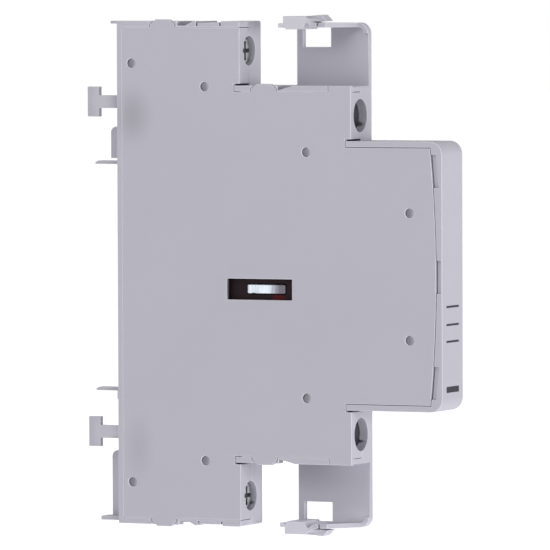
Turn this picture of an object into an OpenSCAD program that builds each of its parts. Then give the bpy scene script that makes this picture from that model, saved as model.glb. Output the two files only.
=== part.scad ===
// Auxiliary contact block, half a module wide, with one make contact and one break contact.
// Frame: X across the block, -X on the cover side. -Y is the front, +Z is up.
// The origin is the centre of the housing's rear plane. Lengths are in millimetres.

/* [Housing] */
// Width across the block
body_w = 8.8; // [8.6:0.1:10]
// Height of the nose
front_h = 45; // [40:1:50]
// Rise of the middle tier above the nose, at each end
mid_rise = 9.2; // [8.6:0.1:10]
// Rise of the rear tier above the middle tier, at each end
rear_rise = 10.8; // [10:0.1:12]
// Length of the nose, ahead of the middle tier
front_step = 16.5; // [15:0.1:19]
// Length of the middle tier, ahead of the rear tier
mid_step = 20.4; // [19:0.2:22]
// Length of the rear tier
rear_step = 22.8; // [21:0.2:25]
// Thickness of the side wall and of the rim round the cover
wall = 1.0; // [0.8:0.1:1.1]
// Width of the ledge inside the rim, on which the cover lies
ledge = 0.6; // [0.4:0.1:0.8]
// Radius of the nose's corners
corner_r = 2.2; // [1.5:0.1:3]

/* [Cover] */
// Thickness of the cover plate
cover_t = 1.0; // [0.8:0.1:1.1]
// Joint all round the cover
cover_gap = 0.1; // [0.05:0.01:0.15]
// Gap below the cover's half of each front wall
lip_gap = 0.3; // [0.15:0.05:0.4]
// Width of the rim ahead of the middle of the cover's front edge
cover_front = 1.1; // [1:0.05:1.4]
// Bulge of the cover's front edge
cover_bulge = 1.1; // [0.8:0.05:1.6]
// Diameter of the locating pins
pin_d = 1.5; // [1.2:0.1:1.7]
// Depth of the pin ends below the cover
pin_sink = 0.5; // [0.2:0.05:0.7]
// Length of the three latch pockets along the cover's front edge
latch_len = 5.5; // [5:0.1:7]
// Width of the outer latch pockets
latch_w = 1; // [0.7:0.05:1.1]
// Width of the middle latch pocket
mid_latch_w = 0.85; // [0.6:0.05:0.9]
// Depth of the latch pockets
latch_depth = 0.5; // [0.3:0.05:0.8]
// Height of the outer latch pockets from the middle
latch_z = 17.6; // [14:0.2:18]

/* [Rims] */
// Distance of the tabs' rear sides behind the middle tier's face
mid_tab_back = 18.3; // [18:0.1:18.8]
// Distance of the tabs' rear sides behind the rear tier's face
rear_tab_back = 16.6; // [16.2:0.1:18]
// Width of the tab that bridges each rim
tab_w = 4.6; // [4:0.1:5]
// Width of the tab's flat top
tab_top = 2.5; // [2:0.1:3]
// Height of the tab above the rim
tab_rise = 0.3; // [0.2:0.05:0.4]
// Depth of the notch beside the tab
notch_depth = 0.75; // [0.5:0.05:0.8]
// Length of the notch's ramp
ramp_len = 2.8; // [2:0.1:3.4]
// Depth of the shallow recess near the rear tier's face
recess_depth = 0.25; // [0.2:0.05:0.4]
// Length of the shallow recess
recess_len = 4.3; // [4:0.1:5]
// Distance of the recess behind the rear tier's face
recess_back = 3.6; // [3:0.1:4]
// Length of the raised block at the middle tier's front corners
corner_block = 4.1; // [3.5:0.1:4.4]

/* [Drive] */
// Length of the side slot for the driver
slot_len = 12; // [11:0.2:12.4]
// Height of the side slot
slot_h = 3.55; // [3:0.05:4]
// Height of the slot's centre below the middle
slot_drop = 2.5; // [2:0.1:2.6]
// Distance of the slot's centre behind the middle tier's face
slot_set = 16.85; // [16:0.05:17.4]
// Length of the driving lug
lug_len = 7.2; // [6:0.1:7.6]
// Height of the driving lug
lug_h = 1.8; // [1.4:0.1:2.2]
// Travel of the contact carrier
carrier_travel = 2.6; // [2.2:0.1:2.8]
// Height of the contact carrier
carrier_h = 9.2; // [9:0.1:10]
// Overtravel of each contact bridge
overtravel = 0.6; // [0.4:0.1:0.8]

/* [Contacts] */
// Thickness of the contact strips
strip_t = 0.8; // [0.6:0.05:0.9]
// Thickness of the contact bridges
bridge_t = 0.8; // [0.6:0.05:0.9]
// Distance of the make contact behind the middle tier's face
make_set = 7.4; // [7:0.1:7.6]
// Distance of the break contact ahead of the rear plane
break_set = 15.6; // [15.6:0.1:17]
// Length of the contact bridges
bridge_len = 22.4; // [21:0.2:24]
// Distance of the contact rivets from the ends of a bridge
rivet_inset = 1.8; // [1.4:0.1:2.2]
// Diameter of the contact rivets
rivet_d = 2.6; // [2.2:0.1:3]
// Height of the contact rivets
rivet_h = 0.6; // [0.5:0.05:0.7]

/* [Springs] */
// Wire of the contact springs
spring_wire = 0.35; // [0.3:0.05:0.4]
// Turns of the contact springs
spring_turns = 5; // [4:1:6]
// Outside diameter of the return spring
return_d = 4.0; // [3.6:0.1:4.6]
// Wire of the return spring
return_wire = 0.45; // [0.35:0.05:0.5]
// Turns of the return spring
return_turns = 6; // [5:1:7]

/* [Terminals] */
// Offset of the screws towards the cover
screw_shift = 0.3; // [0.2:0.05:0.4]
// Depth of the screw heads below the middle tier's face
mid_head_depth = 2.6; // [2:0.1:2.8]
// Depth of the screw heads below the rear tier's face
rear_head_depth = 0.8; // [0.6:0.1:1.4]
// Diameter of the screw holes in the middle tier
mid_hole_d = 5.6; // [5.2:0.1:5.8]
// Diameter of the screw holes in the rear tier
rear_hole_d = 5.0; // [4.9:0.1:5.6]
// Diameter of the screw heads
head_d = 4.6; // [4.2:0.1:4.7]
// Height of the screw heads
head_h = 1.4; // [1.2:0.1:1.6]
// Diameter of the screw shanks
shank_d = 3.0; // [2.6:0.1:3.2]
// Way of the pressure plates, from open to shut
clamp_travel = 4.4; // [4.2:0.1:4.6]
// Height of the clamp cages
cage_h = 6.0; // [5.6:0.1:6.2]
// Thickness of the cages' sides and rear
cage_t = 0.6; // [0.5:0.05:0.7]
// Thickness of the cages' threaded front
nut_t = 1.2; // [1:0.1:1.4]
// Thickness of the pressure plates
plate_t = 0.8; // [0.6:0.05:1]

/* [Flags] */
// Thickness of the flag plates
flag_t = 1.2; // [1:0.1:1.4]
// Height of the flags above the middle tier
flag_rise = 10.7; // [10:0.1:12]
// Length of the flags
flag_len = 13.2; // [13:0.1:14]
// Drop of both flags below the housing's middle
flag_drop = 0.2; // [0:0.05:0.4]
// Width of the posts behind the windows
flag_post = 1.15; // [1:0.05:1.4]
// Length of the windows in the flags
window_len = 5.1; // [4.6:0.1:5.4]
// Height of the windows in the flags
window_h = 3.3; // [2.6:0.1:3.6]
// Radius of the flags' front corners
flag_r = 1.8; // [1.2:0.1:2.4]
// Thickness of the flanges along the flags
flange_t = 0.8; // [0.7:0.05:1]
// Width of the snap blocks
block_w = 6.4; // [6:0.1:6.6]
// Length of the snap blocks
block_len = 4.1; // [3.6:0.1:4.4]
// Height of the snap blocks
block_h = 2.2; // [2:0.1:2.6]
// Reach of the snap blocks behind the flags
block_over = 0.25; // [0.1:0.05:0.4]

/* [Rear hooks] */
// Reach of the T hooks behind the housing
hook_reach = 7.5; // [6:0.1:8]
// Height of the T hooks' heads
hook_h = 5.1; // [4.5:0.1:6]
// Thickness of the T hooks
hook_t = 1.1; // [0.9:0.1:1.3]
// Height of the upper T hook
upper_hook_z = 28.8; // [28:0.1:30]
// Height of the lower T hook
lower_hook_z = -27.3; // [-28.5:0.1:-26.5]
// Reach of the rail fingers behind the housing
finger_reach = 6.1; // [5:0.1:7]
// Height of the upper rail finger
upper_finger_z = 18.5; // [18.2:0.1:18.6]
// Height of the lower rail finger
lower_finger_z = -20; // [-20.2:0.1:-19.8]
// Reach of the foot strips behind the housing
foot_reach = 4.9; // [4:0.1:5.4]

/* [Hidden] */
$fn = 32;
tiny = 0.01;
run_gap = 0.05;
half_w = body_w / 2;
body_depth = front_step + mid_step + rear_step;
front_half = front_h / 2;
mid_half = front_half + mid_rise;
rear_half = mid_half + rear_rise;
inner_x = half_w - cover_t;
floor_x = half_w - wall;
shell_t = wall + ledge;
screw_x = -screw_shift;

// Each tier is [distance of its face behind the front face, half height, corner radius]
NOSE = [0, front_half, corner_r];
MID = [front_step, mid_half, 0.4];
REAR = [front_step + mid_step, rear_half, 0.4];
TIERS = [NOSE, MID, REAR];
function is_middle(tier) = tier == MID;

// Each terminal is [name, side, tier, hole diameter, depth of the screw head]
TERMINALS = [
    ["top_front", 1, MID, mid_hole_d, mid_head_depth],
    ["bottom_front", -1, MID, mid_hole_d, mid_head_depth],
    ["top_rear", 1, REAR, rear_hole_d, rear_head_depth],
    ["bottom_rear", -1, REAR, rear_hole_d, rear_head_depth]
];

// Widths inside, from the room between the side walls
room_w = body_w - cover_t - wall;
side_room = 0.6;
carrier_w = room_w - 2 * side_room;
carrier_gap = 0.1;
carrier_wall = 1.0;
window_w = carrier_w - 2 * carrier_wall;
bridge_w = window_w - 0.4;
spring_d = bridge_w - 0.2;

// Spacing of the contact rivets on a bridge
rivet_span = bridge_len - 2 * rivet_inset;

// Places behind the front face
slot_back = front_step + slot_set;
make_contact_y = front_step + make_set;
break_contact_y = body_depth - break_set;
contact_gap = carrier_travel - overtravel;
make_bar_y = make_contact_y - 2 * rivet_h - contact_gap - run_gap - bridge_t;
break_bar_y = break_contact_y + 2 * rivet_h + run_gap;
spring_room = 4.0;
window_edge = 1.6;
carrier_front = make_bar_y - spring_room - window_edge;
carrier_rear = break_bar_y + bridge_t + spring_room + window_edge;
slot_z = -slot_drop;
lug_y = slot_back - 0.65;

// Sizes of the clamps
cage_gap = 0.4;
cage_room = 0.3;
cage_pad = 0.85;
cage_x = [-inner_x + cage_room, floor_x - cage_pad - run_gap];
post_d = pin_d + 1.2;
spring_peg_d = return_d - 2 * return_wire - 0.3;
strip_turn_z = rivet_span / 2 + 5.6;
strip_x = widen(cage_x, -cage_t - 0.1);
rib_t = 1;
guide_len = 12.8;
spring_seat = 1;

// A span made longer by the same length at both ends
function widen(span, by) = [span[0] - by, span[1] + by];

// Distance behind the front face turned into a place along Y
function back(s) = s - body_depth;
function axis_z(t) = t[1] * (t[2][1] - shell_t - cage_gap - cage_h / 2);
function head_y(t) = t[2][0] + t[4];
function cage_y(t) = head_y(t) + head_h + clamp_travel + 0.2;
function plate_y(t) = cage_y(t) + nut_t + 0.1;
function strip_y(t) = plate_y(t) + plate_t + clamp_travel + 0.1;
function cage_len(t) = strip_y(t) + strip_t + run_gap + cage_t - cage_y(t);
function contact_y(t) = is_middle(t[2]) ? make_contact_y : break_contact_y - strip_t;

// Locating pins: [distance behind the front face, height], mirrored about the middle
pin_shift = pin_d + 3;
PINS = [
    [NOSE[0] + 5.9, NOSE[1] - 11.9],
    [MID[0] + 8.2, axis_z(TERMINALS[0]) - cage_h / 2 - pin_shift + 1.4],
    [REAR[0] + 6.5, axis_z(TERMINALS[2]) - cage_h / 2 - pin_shift + 1.5],
    [body_depth - 2.7, axis_z(TERMINALS[2]) - 2.1]
];

// Turns a profile drawn in (Y, Z) into a slab between two places along X
module slab(x0, x1) {
    translate([x0, 0, 0])
        rotate([90, 0, 90])
            linear_extrude(x1 - x0) children();
}

// A box from its lowest to its highest corner, with Y given behind the front face
module box(x, y, z) {
    translate([x[0], back(y[0]), z[0]])
        cube([x[1] - x[0], y[1] - y[0], z[1] - z[0]]);
}

// Rectangle in (Y, Z), with Y given behind the front face
module panel(y, z) {
    translate([back(y[0]), z[0]])
        square([y[1] - y[0], z[1] - z[0]]);
}

module both_ends() {
    children();
    mirror([0, 0, 1]) children();
}

module both_ends_2d() {
    children();
    mirror([0, 1]) children();
}

// One tier from its face to the rear plane, drawn smaller all round by inset
module tier(t, inset) {
    r = max(t[2] - inset, 0.2);
    y0 = t[0] + inset;
    z = t[1] - inset;
    panel([y0 + r, body_depth - inset], [-z, z]);
    panel([y0, y0 + r + tiny], [-z + r, z - r]);
    both_ends_2d() translate([back(y0 + r), z - r]) circle(r);
}

module stepped_outline(inset = 0) {
    for (t = TIERS) tier(t, inset);
}

// Place of the rear side of a tier's tab, behind the front face
function tab_rear(t) = t[0] + (is_middle(t) ? mid_tab_back : rear_tab_back);

// Trapezoid tab that stands a little above the rim
module tab_outline(t, grow = 0) {
    y1 = tab_rear(t) + grow;
    y0 = y1 - tab_w - 2 * grow;
    slope = (tab_w - tab_top) / 2;
    top = t[1] + tab_rise + grow;
    foot = t[1] - wall / 2;
    low = t[1] - wall - ledge / 2;
    polygon([
        [back(y0), low],
        [back(y0), foot],
        [back(y0 + slope), top],
        [back(y1 - slope), top],
        [back(y1), foot],
        [back(y1), low]
    ]);
}

// Notch in front of the tab, with a ramp that leads a wire to the clamp
module ramp_notch(t) {
    y1 = tab_rear(t) - tab_w - (is_middle(t) ? 0.3 : 0.5);
    flat = is_middle(t) ? 0.1 : 1.5;
    ramp = is_middle(t) ? ramp_len : ramp_len / 2;
    polygon([
        [back(y1), t[1] + 1],
        [back(y1), t[1] - notch_depth],
        [back(y1 - flat), t[1] - notch_depth],
        [back(y1 - flat - ramp), t[1]],
        [back(y1 - flat - ramp), t[1] + 1]
    ]);
}

// Shallow recess near the rear tier's face, with a slit at each end
module rim_recess() {
    y = [REAR[0] + recess_back, REAR[0] + recess_back + recess_len];
    slit = 0.3;
    panel(y, [REAR[1] - recess_depth, REAR[1] + 1]);
    for (s = y) panel([s - slit / 2, s + slit / 2], [REAR[1] - wall + 0.2, REAR[1] + 1]);
}

// Corner block of the cover, which reaches the outline at the middle tier's front
module corner_outline(grow = 0) {
    panel([MID[0], MID[0] + corner_block + grow], [MID[1] - shell_t, MID[1]]);
}

// The cover's half of a tier's front wall, or with grow the room for it
module lip_outline(t, grow = 0) {
    low = (is_middle(t) ? NOSE[1] : MID[1]) + (grow > 0 ? grow : lip_gap);
    panel([t[0] - (grow > 0 ? 1 : 0), t[0] + shell_t + grow], [low - grow, t[1] - wall - cover_gap + grow]);
}

module screw_bores() {
    for (t = TERMINALS)
        translate([screw_x, back(t[2][0] - 1), axis_z(t)])
            rotate([-90, 0, 0])
                cylinder(h = shell_t + 2, d = t[3]);
}

// Hole in a tier's end through which a wire reaches its clamp
module wire_entries() {
    for (t = TERMINALS) {
        y0 = plate_y(t) + plate_t - 0.3;
        low = t[2][1] - shell_t - 1;
        scale([1, 1, t[1]])
            box(widen(strip_x, 0.1), [y0, strip_y(t) + 0.2], [low, low + 5]);
    }
}

module side_slot(x0, x1) {
    slab(x0, x1)
        translate([back(slot_back), slot_z])
            square([slot_len, slot_h], center = true);
}

// Region behind the cover's front edge, an arc that bulges forwards in the middle
module nose_clip(forward = 0) {
    chord = front_half - wall;
    r = (chord * chord + cover_bulge * cover_bulge) / (2 * cover_bulge);
    intersection() {
        translate([back(cover_front - forward) + r, 0]) circle(r, $fn = 360);
        panel([-1, body_depth], [-rear_half, rear_half]);
    }
}

module cover_outline(grow = 0) {
    inset = wall + cover_gap - grow;
    half = front_half - inset;
    intersection() {
        union() {
            stepped_outline(inset);
            panel([0, front_step], [-half, half]);
        }
        nose_clip(grow);
    }
}

// Pocket in the rim along the cover's front edge, where a latch catches
module latch_pocket(z, width) {
    intersection() {
        nose_clip(width);
        panel([0, cover_front + cover_bulge + ledge], [z - latch_len / 2, z + latch_len / 2]);
    }
}

module latch_pockets() {
    both_ends_2d() latch_pocket(latch_z, latch_w);
    latch_pocket(0, mid_latch_w);
}

// Post on the shell's floor, whose pin goes into the cover
module pin_post(p) {
    translate([-inner_x, back(p[0]), p[1]])
        rotate([0, 90, 0])
            cylinder(h = inner_x + floor_x + tiny, d = post_d);
    translate([-half_w + pin_sink, back(p[0]), p[1]])
        rotate([0, 90, 0])
            cylinder(h = cover_t + 1, d = pin_d);
}

// Pad under a clamp, a rest beside its strip and a rib behind the strip's contact leg
module terminal_rests(t) {
    c = axis_z(t);
    z = strip_turn_z - strip_t;
    y = contact_y(t) + (is_middle(t[2]) ? strip_t + run_gap : -rib_t - run_gap);
    cage = [cage_y(t), cage_y(t) + cage_len(t)];
    strip = [strip_y(t) - rib_t, strip_y(t) + strip_t + rib_t];
    low = floor_x + tiny;
    box([cage_x[1] + run_gap, low], cage, [c - cage_h / 2, c + cage_h / 2]);
    scale([1, 1, t[1]]) {
        box([strip_x[1] + run_gap, low], strip, [z + 1, z + 3]);
        box([screw_x - 1, low], [y, y + rib_t], [rivet_span / 2 - 1, z - run_gap]);
    }
}

// Guide along the carrier, which reaches from a side wall at x0 to x1
module carrier_guide(x0, x1) {
    rest_z = carrier_h / 2 + carrier_gap;
    both_ends()
        box([x0, x1], [slot_back - guide_len / 2, slot_back + guide_len / 2], [rest_z, rest_z + rib_t]);
}

// Rib beside the carrier's upper half
module carrier_rest(x0, x1) {
    box([x0, x1], [slot_back - guide_len / 2, slot_back + guide_len / 2], [0.6, carrier_h / 2 - 1]);
}

// Rests on the floor for the clamps, the strips and the sliding carrier
module floor_rests() {
    for (t = TERMINALS) terminal_rests(t);
    carrier_guide(window_w / 2, floor_x + tiny);
    carrier_rest(carrier_w / 2 + carrier_gap, floor_x + tiny);
    box([0, floor_x + tiny], [carrier_front - 1.7, carrier_front - run_gap], [-3, 3]);
    translate([0, back(body_depth - shell_t - spring_seat), 0])
        rotate([-90, 0, 0])
            cylinder(h = spring_seat + tiny, d = spring_peg_d);
}

// Plate of a flag with its window, flange and snap arm, above the middle tier
module flag() {
    top = MID[1] + flag_rise;
    x0 = half_w - flag_t;
    rear = MID[0] + flag_len;
    window = [rear - flag_post - window_len, rear - flag_post];
    difference() {
        slab(x0, half_w) {
            panel([MID[0] + flag_r, rear], [MID[1] - wall, top]);
            panel([MID[0], MID[0] + flag_r + tiny], [MID[1] - wall, top - flag_r]);
            translate([back(MID[0] + flag_r), top - flag_r]) circle(flag_r);
        }
        box([x0 - 1, half_w + 1], window, [top - flange_t - window_h, top - flange_t]);
    }
    flange(top, window[0]);
    snap_arm(top, window[0] + 0.35, rear);
}

// Flange along the top of a flag, widest beside the snap arm and bent round the front corner
module flange(top, end) {
    narrow = half_w - flag_t - 0.4;
    translate([0, 0, top - flange_t])
        linear_extrude(flange_t)
            polygon([
                [half_w, back(MID[0] + flag_r)],
                [narrow, back(MID[0] + flag_r)],
                [half_w - block_w + 2.4, back(end - 3.2)],
                [half_w - block_w, back(end - 1.4)],
                [half_w - block_w, back(end)],
                [half_w, back(end)]
            ]);
    slab(narrow, half_w)
        intersection() {
            difference() {
                translate([back(MID[0] + flag_r), top - flag_r]) circle(flag_r);
                translate([back(MID[0] + flag_r), top - flag_r]) circle(flag_r - flange_t);
            }
            panel([MID[0], MID[0] + flag_r + tiny], [top - flag_r, top]);
        }
}

// Arm at the rear of a flag: a block, a curved neck up to front, a barbed tooth and a peg
module snap_arm(top, front, rear) {
    x0 = half_w - block_w;
    y1 = rear + block_over;
    y0 = y1 - block_len;
    high = top + block_h / 2;
    low = top - block_h / 2;
    slab(x0, half_w)
        polygon([
            [back(y1), high],
            [back(y0), high],
            [back(y0), low + 0.9],
            [back(y0 + 0.6), low],
            [back(y1 - 0.5), low],
            [back(y1), low + 0.6]
        ]);
    slab(x0, x0 + 4)
        polygon([
            [back(y0) + tiny, low + 1],
            [back(y0 - 0.35), low + 1],
            [back(y0 - 0.9), low + 0.5],
            [back(y0 - 1.4), low + 0.3],
            [back(front + 0.3), low + 0.3],
            [back(front), low + 0.5],
            [back(front), top],
            [back(y0 - 1.2), top + 0.1],
            [back(y0 - 0.7), top + 0.4],
            [back(y0) + tiny, high - 0.3]
        ]);
    slab(x0 + 0.6, x0 + 3.4)
        polygon([
            [back(y0) + tiny, high - 0.6],
            [back(y0) + tiny, high],
            [back(y0 - 2.7), high + 0.25],
            [back(y0 - 3.7), high - 0.8],
            [back(y0 - 1.1), high - 0.95]
        ]);
    box([x0, x0 + 1.6], [y1 - tiny, y1 + 0.9], [low + 0.3, low + 1]);
}

// T hook behind the housing, parallel to its sides
module t_hook(z) {
    x = [screw_x, screw_x + hook_t];
    head = 2.2;
    stem = 2.2;
    end = body_depth + hook_reach;
    box(x, [body_depth - tiny, end], [z - stem / 2, z + stem / 2]);
    box(x, [end - head, end], [z - hook_h / 2, z + hook_h / 2]);
}

// Rail finger, a flat blade that tapers to its tip
module rail_finger(z) {
    t = 0.6;
    slab(screw_x, screw_x + 2)
        polygon([
            [-tiny, z - t / 2],
            [-tiny, z + t / 2],
            [finger_reach - 0.5, z + t / 2],
            [finger_reach, z],
            [finger_reach, z - t / 2]
        ]);
}

// Foot strip along the rear of the side wall, with a round upper corner
module foot_strip(z0, z1) {
    r = 1;
    slab(floor_x, half_w) {
        panel([body_depth - tiny, body_depth + foot_reach], [z0, z1 - r]);
        panel([body_depth - tiny, body_depth + foot_reach - r], [z0, z1]);
        translate([foot_reach - r, z1 - r]) circle(r);
    }
}

module rear_hooks() {
    t_hook(upper_hook_z);
    t_hook(lower_hook_z);
    rail_finger(upper_finger_z);
    rail_finger(lower_finger_z);
    foot_strip(upper_finger_z + 0.6, upper_hook_z - 4.3);
    foot_strip(-REAR[1] + 0.7, lower_hook_z - 3.4);
    start = body_depth - tiny;
    box([floor_x, half_w], [start, body_depth + foot_reach], [REAR[1] - 0.5, REAR[1]]);
    box([half_w - 3, half_w], [start, body_depth + finger_reach], [-REAR[1], -REAR[1] + 0.7]);
    box([floor_x, half_w], [start, body_depth + foot_reach - 1], [lower_finger_z - 2, lower_finger_z]);
}

module base_shell() {
    color([0.74, 0.74, 0.78])
    difference() {
        union() {
            difference() {
                slab(-half_w, half_w) stepped_outline();
                slab(-inner_x, floor_x) stepped_outline(shell_t);
                slab(-half_w - 1, -inner_x + tiny) cover_outline(cover_gap);
                both_ends() for (t = [MID, REAR]) {
                    slab(-half_w - 1, -inner_x) tab_outline(t, cover_gap);
                    slab(-half_w - 1, half_w + 1) ramp_notch(t);
                    slab(-half_w - 1, screw_x) lip_outline(t, cover_gap);
                }
                both_ends() slab(-half_w - 1, -inner_x) corner_outline(cover_gap);
                slab(-half_w - 1, -half_w + latch_depth) latch_pockets();
                both_ends() slab(-half_w - 1, half_w + 1) rim_recess();
            }
            both_ends() for (p = PINS) pin_post(p);
            floor_rests();
            translate([0, 0, -flag_drop]) both_ends() flag();
            rear_hooks();
        }
        screw_bores();
        wire_entries();
        side_slot(floor_x - 1, half_w + 1);
    }
}

module cover_plate() {
    color([0.78, 0.78, 0.82])
    difference() {
        union() {
            slab(-half_w, -inner_x) cover_outline();
            both_ends() for (t = [MID, REAR]) {
                slab(-half_w, -inner_x) tab_outline(t);
                slab(-half_w, screw_x - cover_gap) lip_outline(t);
            }
            both_ends() slab(-half_w, -inner_x) corner_outline();
            carrier_guide(-inner_x - tiny, -window_w / 2);
            carrier_rest(-inner_x - tiny, -carrier_w / 2 - carrier_gap);
        }
        both_ends() for (p = PINS)
            translate([-half_w - 1, back(p[0]), p[1]])
                rotate([0, 90, 0])
                    cylinder(h = cover_t + 2, d = pin_d + 2 * run_gap);
        screw_bores();
        side_slot(-half_w - 1, -inner_x + 1);
    }
}

// Sliding carrier with a window for each bridge and a slot for the lug
module contact_carrier() {
    x = carrier_w / 2;
    z = carrier_h / 2;
    window_x = window_w / 2;
    make_window = [carrier_front + window_edge, make_bar_y + bridge_t + run_gap];
    break_window = [break_bar_y - overtravel - run_gap, carrier_rear - window_edge];
    color([0.35, 0.08, 0.08])
    difference() {
        union() {
            box([-x, x], [carrier_front, carrier_rear], [-z, z]);
            translate([0, back(carrier_rear - tiny), 0])
                rotate([-90, 0, 0])
                    cylinder(h = spring_seat + 0.6, d = spring_peg_d);
        }
        for (y = [make_window, break_window]) box([-window_x, window_x], y, [-z - 1, z + 1]);
        slab(-x - 1, x + 1) lug_outline(run_gap);
    }
}

// Section of the lug, a flat bar with round edges
module lug_outline(grow = 0) {
    r = 0.4;
    y = lug_len / 2 + grow;
    z = lug_h / 2 + grow;
    translate([back(lug_y), slot_z]) {
        square([2 * (y - r), 2 * z], center = true);
        square([2 * y, 2 * (z - r)], center = true);
        for (a = [-1, 1], b = [-1, 1]) translate([a * (y - r), b * (z - r)]) circle(r);
    }
}

// Plated lug across the carrier, which the neighbouring device drives
module drive_lug() {
    reach = carrier_w / 2 + 0.2;
    color([0.9, 0.9, 0.92])
    slab(-reach, reach) lug_outline();
}

// Contact bridge, a bar across the carrier's window
module bridge(y) {
    color([0.78, 0.5, 0.28])
    difference() {
        box([-bridge_w / 2, bridge_w / 2], [y, y + bridge_t], [-bridge_len / 2, bridge_len / 2]);
        both_ends()
            translate([0, back(y) - 1, rivet_span / 2])
                rotate([-90, 0, 0])
                    cylinder(h = bridge_t + 2, d = 1.4);
    }
}

// Silver contact rivet: a head on one side of its carrier and a shank through it
module rivet(y, z, dir, x = 0, length = bridge_t) {
    color([0.86, 0.86, 0.88])
    translate([x, back(y), z])
        rotate([dir > 0 ? -90 : 90, 0, 0]) {
            cylinder(h = rivet_h, d = rivet_d);
            translate([0, 0, -length]) cylinder(h = length + tiny, d = 1.4);
        }
}

// Points of a round wire swept along a coil that starts at z = 0
function coil_ring(a, r, wire, z, sides) = [
    for (i = [0 : sides - 1])
        let (b = 360 * i / sides, q = r + wire / 2 * cos(b))
        [q * cos(a), q * sin(a), z + wire / 2 * sin(b)]
];

// Compression spring along Y between two places behind the front face
module coil_spring(y0, y1, d, wire, turns) {
    sides = 6;
    per_turn = 14;
    rings = turns * per_turn;
    length = y1 - y0 - wire;
    r = (d - wire) / 2;
    points = [
        for (k = [0 : rings])
            each coil_ring(360 * k / per_turn, r, wire, wire / 2 + length * k / rings, sides)
    ];
    side_faces = [
        for (k = [0 : rings - 1], i = [0 : sides - 1])
            let (j = (i + 1) % sides)
            [k * sides + i, (k + 1) * sides + i, (k + 1) * sides + j, k * sides + j]
    ];
    start = [for (i = [0 : sides - 1]) i];
    end = [for (i = [sides - 1 : -1 : 0]) rings * sides + i];
    color([0.7, 0.7, 0.72])
    translate([0, back(y0), 0])
        rotate([-90, 0, 0])
            polyhedron(points, concat(side_faces, [start, end]), convexity = 8);
}

// Steel box of a clamp, threaded in front and open above and below
module clamp_cage(t) {
    y = [cage_y(t), cage_y(t) + cage_len(t)];
    c = axis_z(t);
    color([0.62, 0.63, 0.66])
    difference() {
        box(cage_x, y, [c - cage_h / 2, c + cage_h / 2]);
        box(widen(cage_x, -cage_t), [y[0] + nut_t, y[1] - cage_t], [c - cage_h, c + cage_h]);
        translate([screw_x, back(y[0] - 1), c])
            rotate([-90, 0, 0])
                cylinder(h = nut_t + 2, d = shank_d + 2 * run_gap);
    }
}

// Terminal screw with a cross recess, whose tip turns in the pressure plate
module terminal_screw(t) {
    shank_len = plate_y(t) - head_y(t) - head_h;
    color([0.8, 0.8, 0.82])
    translate([screw_x, back(head_y(t)), axis_z(t)])
        rotate([-90, 0, 0])
            difference() {
                union() {
                    cylinder(h = head_h, d1 = head_d - 0.4, d2 = head_d);
                    translate([0, 0, head_h - tiny]) cylinder(h = shank_len + tiny, d = shank_d);
                    translate([0, 0, head_h + shank_len - tiny]) cylinder(h = plate_t - 0.1, d = 1.8);
                }
                for (a = [0, 90])
                    rotate([0, 0, a]) translate([-1.6, -0.35, -1]) cube([3.2, 0.7, 1.9]);
            }
}

module pressure_plate(t) {
    c = axis_z(t);
    h = cage_h - 1.2;
    color([0.66, 0.67, 0.7])
    difference() {
        box(strip_x, [plate_y(t), plate_y(t) + plate_t], [c - h / 2, c + h / 2]);
        translate([screw_x, back(plate_y(t) - 1), c])
            rotate([-90, 0, 0])
                cylinder(h = plate_t + 2, d = 1.8 + 2 * run_gap);
    }
}

// Bent strip from a clamp to its fixed contact
module contact_strip(t) {
    outer = abs(axis_z(t)) + cage_h / 2 - 0.2;
    y = strip_y(t);
    end = contact_y(t);
    color([0.78, 0.5, 0.28])
    scale([1, 1, t[1]])
    difference() {
        slab(strip_x[0], strip_x[1]) {
            panel([y, y + strip_t], [strip_turn_z - strip_t, outer]);
            panel([end, y + strip_t], [strip_turn_z - strip_t, strip_turn_z]);
            panel([end, end + strip_t], [rivet_span / 2 - 1.8, strip_turn_z]);
        }
        translate([0, back(end) - 1, rivet_span / 2])
            rotate([-90, 0, 0])
                cylinder(h = strip_t + 2, d = 1.4);
    }
}

module fixed_rivet(t) {
    dir = is_middle(t[2]) ? -1 : 1;
    y = contact_y(t) + (dir > 0 ? strip_t : 0);
    rivet(y, t[1] * rivet_span / 2, dir, length = strip_t);
}

base_shell();
cover_plate();
contact_carrier();
drive_lug();
bridge(make_bar_y);  // make_bridge
bridge(break_bar_y);  // break_bridge
rivet(make_bar_y + bridge_t, rivet_span / 2, 1);  // make_rivet_upper
rivet(make_bar_y + bridge_t, -rivet_span / 2, 1);  // make_rivet_lower
rivet(break_bar_y, rivet_span / 2, -1);  // break_rivet_upper
rivet(break_bar_y, -rivet_span / 2, -1);  // break_rivet_lower
coil_spring(carrier_front + window_edge, make_bar_y, spring_d, spring_wire, spring_turns);  // make_spring
coil_spring(break_bar_y + bridge_t, carrier_rear - window_edge, spring_d, spring_wire, spring_turns);  // break_spring
coil_spring(carrier_rear, body_depth - shell_t, return_d, return_wire, return_turns);  // return_spring
for (t = TERMINALS) {
    clamp_cage(t);
    terminal_screw(t);
    pressure_plate(t);
    contact_strip(t);
    fixed_rivet(t);
}
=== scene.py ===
"""Looks of a slim auxiliary contact block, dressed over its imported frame.

Lengths are in metres in the part's own frame: -X is the cover side, -Y the front and +Z up.
"""
import logging
import math
from dataclasses import dataclass
from enum import Enum
from typing import Any, Callable, Iterable, Iterator, Optional, Sequence, Union

import bmesh
import bpy
from mathutils import Matrix, Vector
from mathutils.bvhtree import BVHTree


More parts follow.
